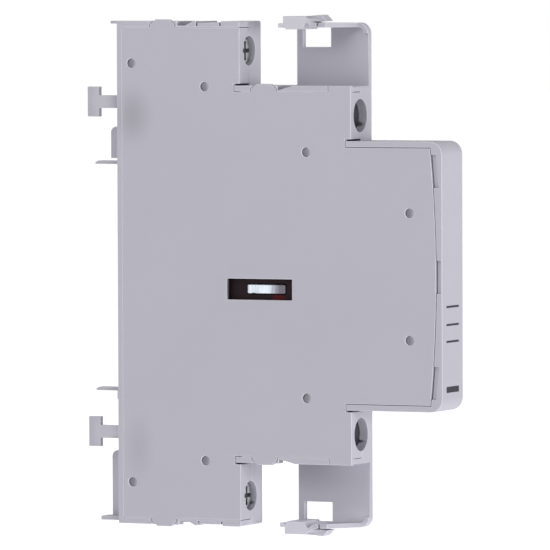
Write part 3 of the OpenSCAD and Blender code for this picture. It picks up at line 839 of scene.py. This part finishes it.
@dataclass
class TerminalScrews:
    """The four terminal screws, with a crossed recess, a round-edged head and a thread.

    Attributes:
        wardrobe: Where the finishes come from.
        rows: The names of the terminals.
        head_height: Height of a head.
        taper: How much narrower the head is in front.
        round: Width of the head's round front edge.
        shank: Diameter over the thread.
        depth: Depth of the thread.
        pitch: Rise of the thread in one turn.
        tip: Diameter of the plain tip that turns in the pressure plate.
        tip_length: Length of the tip.
        slot: Width of the two crossed slots.
        reach: Length of each slot.
        sink: Depth of the slots.
    """

    wardrobe: Wardrobe
    rows: tuple[str, ...] = ("top_front", "bottom_front", "top_rear", "bottom_rear")
    head_height: float = 1.4 * MM
    taper: float = 0.4 * MM
    round: float = 0.15 * MM
    shank: float = 3.0 * MM
    depth: float = 0.27 * MM
    pitch: float = 0.5 * MM
    tip: float = 1.8 * MM
    tip_length: float = 0.7 * MM
    slot: float = 0.7 * MM
    reach: float = 3.2 * MM
    sink: float = 0.9 * MM

    def build(self) -> None:
        """Replaces each screw of the frame with a detailed one."""
        tree = self._tree()
        for row in self.rows:
            node = f"terminal_screw_{row}"
            low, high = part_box(node)
            values = {
                "Head Diameter": high.x - low.x, "Length": high.y - low.y,
                "Place": (0.5 * (low.x + high.x), low.y, 0.5 * (low.z + high.z)),
                "Material": self.wardrobe.material(Finish.ZINC),
            }
            piece = tree.grow(f"cross_head_screw_{row}", values, 35.0)
            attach(piece, f"screw_{row}")
            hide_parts(node)
            log.info("%s: %d faces", piece.name, len(piece.data.polygons))

    def _tree(self) -> GeometryTree:
        """Builds the tree that makes a screw along Y from its length and head."""
        tree = GeometryTree("cross_head_screw", {
            "Head Diameter": float, "Length": float, "Place": tuple, "Material": bpy.types.Material})
        head = self._head(tree, tree.given("Head Diameter") * 0.5)
        thread_len = tree.given("Length") - (self.head_height + self.tip_length)
        core = self._drum(tree, self.shank / 2 - self.depth, self.head_height * 0.5, thread_len + self.head_height * 0.5)
        tip = self._drum(tree, self.tip / 2, self.head_height + thread_len * 0.9, thread_len * 0.1 + self.tip_length)
        turns = thread_len / self.pitch - 1.0
        start = self.head_height + self.pitch / 2
        ridge = tree.helix(self.shank / 2 - self.depth, turns, 24, lambda share: share * turns * self.pitch + start)
        thread = tree.swept(ridge, self.depth, 4)
        whole = tree.joined(head, core, tip, thread)
        tree.close(tree.moved(whole, tree.given("Place"), (-math.pi / 2, 0.0, 0.0)), tree.given("Material"))
        return tree

    def _head(self, tree: GeometryTree, radius: Flow) -> Flow:
        """Makes the head, whose front lies at a height of 0, with its crossed recess."""
        front = radius - self.taper / 2
        rise = self.round
        lip = self._cone(tree, front - rise, front, 0.0, rise)
        skirt = self._cone(tree, front, radius, rise, self.head_height - rise)
        both = tree.node("GeometryNodeMeshBoolean", {"operation": "UNION"}, {})
        for part in (skirt, lip):
            tree.links.new(part.socket, both.inputs["Mesh 2"])
        size = (self.reach, self.slot, 2 * self.sink)
        bars = [tree.add("GeometryNodeMeshCube", {}, {"Size": turned}) for turned in (size, (size[1], size[0], size[2]))]
        return tree.cut(Flow(tree, both.outputs["Mesh"]), *bars)

    @staticmethod
    def _cone(tree: GeometryTree, low: Value, high: Value, start: Value, height: Value) -> Flow:
        """Makes a closed cone about Z between two radii."""
        inputs = {"Vertices": 48, "Radius Bottom": low, "Radius Top": high, "Depth": height}
        cone = tree.add("GeometryNodeMeshCone", {}, inputs)
        return tree.moved(cone, tree.vector(0.0, 0.0, start))

    def _drum(self, tree: GeometryTree, radius: float, start: Value, height: Value) -> Flow:
        """Makes a closed drum about Z."""
        return self._cone(tree, radius, radius, start, height)


@dataclass(frozen=True)
class Coil:
    """One compression spring of the frame, which stretches between two bodies.

    Attributes:
        node: The frame's node.
        front: The body at its front end, towards -Y; not used.
        rear: The body at its rear end; not used.
        turns: Its turns.
        wire: Diameter of its wire.
    """

    node: str
    front: str
    rear: str
    turns: int
    wire: float


@dataclass
class Springs:
    """The wound springs of the carrier and its contacts.

    Attributes:
        wardrobe: Where the finishes come from.
        coils: The springs.
    """

    wardrobe: Wardrobe
    coils: tuple[Coil, ...] = (
        Coil("return_spring", "carrier", "housing", 6, 0.45 * MM),
        Coil("make_spring", "carrier", "make_contact", 5, 0.35 * MM),
        Coil("break_spring", "break_contact", "carrier", 5, 0.35 * MM),
    )

    def build(self) -> None:
        """Replaces each spring of the frame with a wound one."""
        tree = self._tree()
        for coil in self.coils:
            low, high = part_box(coil.node)
            values = {
                "Length": high.y - low.y, "Diameter": high.x - low.x, "Wire": coil.wire, "Turns": float(coil.turns),
                "Place": (0.5 * (low.x + high.x), low.y, 0.5 * (low.z + high.z)),
                "Material": self.wardrobe.material(Finish.WIRE),
            }
            piece = tree.grow(f"wound_{coil.node}", values, 60.0)
            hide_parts(coil.node)
            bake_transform(piece)
            log.info("%s: %d faces", piece.name, len(piece.data.polygons))

    @staticmethod
    def _tree() -> GeometryTree:
        """Builds the tree that winds a spring along Y, with a closed turn at each end."""
        tree = GeometryTree("wound_spring", {
            "Length": float, "Diameter": float, "Wire": float, "Turns": float, "Place": tuple,
            "Material": bpy.types.Material})
        length, wire, turns = (tree.given(label) for label in ("Length", "Wire", "Turns"))

        def height(share: Flow) -> Flow:
            """Rises by one wire for each turn, and by the rest between the closed turns."""
            spread = tree.add("ShaderNodeMapRange", {"interpolation_type": "SMOOTHSTEP"}, {
                "Value": share, "From Min": 1.0 / turns, "From Max": 1.0 - 1.0 / turns})
            return wire * 0.5 + share * turns * wire + spread * (length - wire * (turns + 1.0))

        helix = tree.helix((tree.given("Diameter") - wire) * 0.5, turns, 30, height)
        coil = tree.swept(helix, wire * 0.5, 10)
        tree.close(tree.moved(coil, tree.given("Place"), (-math.pi / 2, 0.0, 0.0)), tree.given("Material"))
        return tree


def add_bars(work: bmesh.types.BMesh, boxes: Iterable[tuple[Vector, Vector]]) -> None:
    """Adds closed bars to a mesh.

    Args:
        work: The mesh.
        boxes: The lowest and highest corner of each bar.
    """
    for low, high in boxes:
        made = bmesh.ops.create_cube(work, size=1.0)
        bmesh.ops.scale(work, vec=high - low, verts=made["verts"])
        bmesh.ops.translate(work, vec=0.5 * (low + high), verts=made["verts"])


def bar_piece(name: str, boxes: Iterable[tuple[Vector, Vector]]) -> bpy.types.Object:
    """Makes one piece of closed bars.

    Args:
        name: The piece's name.
        boxes: The lowest and highest corner of each bar.

    Returns:
        The piece, at the origin.
    """
    mesh = bpy.data.meshes.new(name)
    work = bmesh.new()
    add_bars(work, boxes)
    work.to_mesh(mesh)
    work.free()
    piece = bpy.data.objects.new(name, mesh)
    bpy.context.scene.collection.objects.link(piece)
    return piece


@dataclass
class Seams:
    """The cover's tongue, which closes its joint with the rim just below the surface.

    Attributes:
        wardrobe: Where the finishes come from.
        rim_y: The rim's inner face at the rear.
        tiers: The rim's inner face of each tier, along Z, and the tier's front and rear along Y.
        gap: Width of the joint.
        bite: How far the tongue reaches into both sides.
        sink: How far it lies below the surface.
        height: Its height across the block.
    """

    wardrobe: Wardrobe
    rim_y: float = -1.0 * MM
    tiers: tuple[tuple[float, float, float], ...] = (
        (41.5 * MM, -22.6 * MM, -1.0 * MM), (30.7 * MM, -42.9 * MM, -23.0 * MM))
    gap: float = 0.1 * MM
    bite: float = 0.02 * MM
    sink: float = 0.03 * MM
    height: float = 0.5 * MM

    def build(self) -> None:
        """Lays the tongue along the rear and the tiers as one mesh."""
        piece = bar_piece("seam_tongue", self._bars())
        self.wardrobe.dress(piece, Finish.HOUSING)
        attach(piece, "housing")
        log.info("seam_tongue: %d faces", len(piece.data.polygons))

    def _bars(self) -> Iterator[tuple[Vector, Vector]]:
        """Yields the corners of each straight stretch."""
        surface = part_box("cover_plate")[0].x + self.sink
        near, far = surface, surface + self.height
        width = self.gap + self.bite
        top = self.tiers[0][0]
        yield Vector((near, self.rim_y - width, -top)), Vector((far, self.rim_y + self.bite, top))
        for half, front, rear in self.tiers:
            inner, outer = half - width, half + self.bite
            yield Vector((near, front, inner)), Vector((far, rear, outer))
            yield Vector((near, front, -outer)), Vector((far, rear, -inner))


@dataclass
class Marks:
    """Plain printed dashes on the nose's front face.

    Attributes:
        wardrobe: Where the finishes come from.
        thickness: Thickness of the ink.
        rows: Height of each dash's centre and its own height.
        half_width: Half the width of the dashes.
    """

    wardrobe: Wardrobe
    thickness: float = 0.02 * MM
    rows: tuple[tuple[float, float], ...] = (
        (-5.0 * MM, 0.35 * MM), (-8.0 * MM, 0.35 * MM), (-10.8 * MM, 0.35 * MM), (-18.8 * MM, 1.0 * MM))
    half_width: float = 2.6 * MM

    def build(self) -> None:
        """Lays the dashes on the front face as one thin mesh."""
        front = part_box("base_shell")[0].y
        piece = bar_piece("printed_dashes", [
            (Vector((-self.half_width, front - self.thickness, z - height / 2)),
             Vector((self.half_width, front + self.thickness, z + height / 2))) for z, height in self.rows])
        self.wardrobe.dress(piece, Finish.INK)
        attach(piece, "housing")
        log.info("printed_dashes: %d rows", len(self.rows))


@dataclass
class Studio:
    """The floor, the light and the camera.

    Attributes:
        camera_place: Where the camera stands.
        heading_deg: Its heading, from +Y towards +X.
        tilt_deg: Its tilt above the horizon.
        roll_deg: Its roll.
        focal_px: Its focal length in pixels of the image.
        image_px: Width of the image.
        sensor_mm: Width of the sensor.
        floor_half: Half the side of the floor.
        floor_seen: Glow of the floor that is seen, which makes it white.
        floor_glow: Glow of the floor that lights the block from below.
        sky: Strength of the world's light.
        overhead: Power of the lamp above the block.
        front: Power of the lamp ahead of the nose.
        side: Power of the lamp beside the camera.
    """

    camera_place: tuple[float, float, float] = (-1.13545, -0.54290, 0.05198)
    heading_deg: float = 65.576
    tilt_deg: float = -2.397
    roll_deg: float = -0.196
    focal_px: float = 7419.8
    image_px: float = 550.0
    sensor_mm: float = 36.0
    floor_half: float = 4.0
    floor_seen: float = 0.82
    floor_glow: float = 0.57
    sky: float = 0.25
    overhead: float = 0.9
    front: float = 3.8
    side: float = 3.2

    def build(self) -> None:
        """Sets up the whole studio."""
        bpy.context.scene.view_settings.view_transform = "Standard"
        self._world()
        self._floor()
        self._lamp("overhead", Vector((-0.55, 0.25, 0.95)), 0.6, self.overhead)
        self._lamp("front", Vector((-0.15, -1.0, 0.06)), 0.22, self.front)
        self._lamp("side", Vector((-0.85, 0.0, 0.75)), 0.6, self.side)
        self._camera()

    def _world(self) -> None:
        """Lights the scene evenly and shows white behind the floor."""
        world = bpy.data.worlds.new("studio")
        world.use_nodes = True
        bpy.context.scene.world = world
        tree = NodeTree(world.node_tree)
        level = self._seen(tree) * (1.0 - self.sky) + self.sky
        sky = tree.add("ShaderNodeBackground", {}, {"Color": (1.0, 1.0, 1.0, 1.0), "Strength": level})
        tree.node("ShaderNodeOutputWorld", {}, {"Surface": sky})

    @staticmethod
    def _seen(tree: NodeTree) -> Flow:
        """Returns 1 for what the camera sees, also by reflection or through glass, and 0 for light."""
        path = tree.node("ShaderNodeLightPath", {}, {})
        rays = [Flow(tree, path.outputs[f"Is {kind} Ray"]) for kind in ("Camera", "Glossy", "Transmission")]
        return rays[0].math("MAXIMUM", rays[0], rays[0].math("MAXIMUM", rays[1], rays[2]))

    def _floor(self) -> None:
        """Lays a pale floor under the lowest point of the block."""
        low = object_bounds()[0].z
        mesh = bpy.data.meshes.new("floor")
        half = self.floor_half
        corners = [(-half, -half, low), (half, -half, low), (half, half, low), (-half, half, low)]
        mesh.from_pydata(corners, [], [(0, 1, 2, 3)])
        floor = bpy.data.objects.new("floor", mesh)
        bpy.context.scene.collection.objects.link(floor)
        tree = ShaderTree("pale_floor")
        matt = tree.add("ShaderNodeBsdfDiffuse", {}, {"Color": (0.86, 0.86, 0.86, 1.0)})
        level = self._seen(tree) * (self.floor_seen - self.floor_glow) + self.floor_glow
        glow = tree.add("ShaderNodeEmission", {}, {"Color": (1.0, 1.0, 1.0, 1.0), "Strength": level})
        both = tree.add("ShaderNodeAddShader", {}, {0: matt, 1: glow})
        tree.node("ShaderNodeOutputMaterial", {}, {"Surface": both})
        mesh.materials.append(tree.material)
        floor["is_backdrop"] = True

    @staticmethod
    def _lamp(name: str, place: Vector, size: float, power: float) -> None:
        """Adds a square lamp that faces the block.

        Args:
            name: The lamp's name.
            place: Where it hangs.
            size: Its side.
            power: Its power in watts.
        """
        data = bpy.data.lights.new(name, "AREA")
        data.shape = "SQUARE"
        data.size = size
        data.energy = power
        lamp = bpy.data.objects.new(name, data)
        lamp.location = place
        lamp.rotation_mode = "QUATERNION"
        lamp.rotation_quaternion = (Vector((0.0, -0.03, 0.0)) - place).to_track_quat("-Z", "Y")
        bpy.context.scene.collection.objects.link(lamp)

    def _camera(self) -> None:
        """Places the camera at the photograph's viewing angle."""
        heading, tilt, roll = (math.radians(a) for a in (self.heading_deg, self.tilt_deg, self.roll_deg))
        look = Vector((math.sin(heading) * math.cos(tilt), math.cos(heading) * math.cos(tilt), math.sin(tilt)))
        level = Vector((math.cos(heading), -math.sin(heading), 0.0))
        upright = level.cross(look)
        right = math.cos(roll) * level + math.sin(roll) * upright
        up = math.cos(roll) * upright - math.sin(roll) * level
        data = bpy.data.cameras.new("camera")
        data.sensor_width = self.sensor_mm
        data.lens = self.focal_px / self.image_px * self.sensor_mm
        data.clip_start, data.clip_end = 0.05, 50.0
        camera = bpy.data.objects.new("camera", data)
        camera.matrix_world = Matrix.Translation(self.camera_place) @ Matrix((right, up, -look)).transposed().to_4x4()
        bpy.context.scene.collection.objects.link(camera)
        bpy.context.scene.camera = camera


def main() -> None:
    """Builds the block's looks and its studio."""
    logging.basicConfig(level=logging.INFO, format="%(name)s %(message)s")
    wardrobe = Wardrobe()
    Housing(wardrobe).build()
    Inside(wardrobe).build()
    TerminalScrews(wardrobe).build()
    Springs(wardrobe).build()
    Seams(wardrobe).build()
    Marks(wardrobe).build()
    Studio().build()


if __name__ == "__main__":
    main()
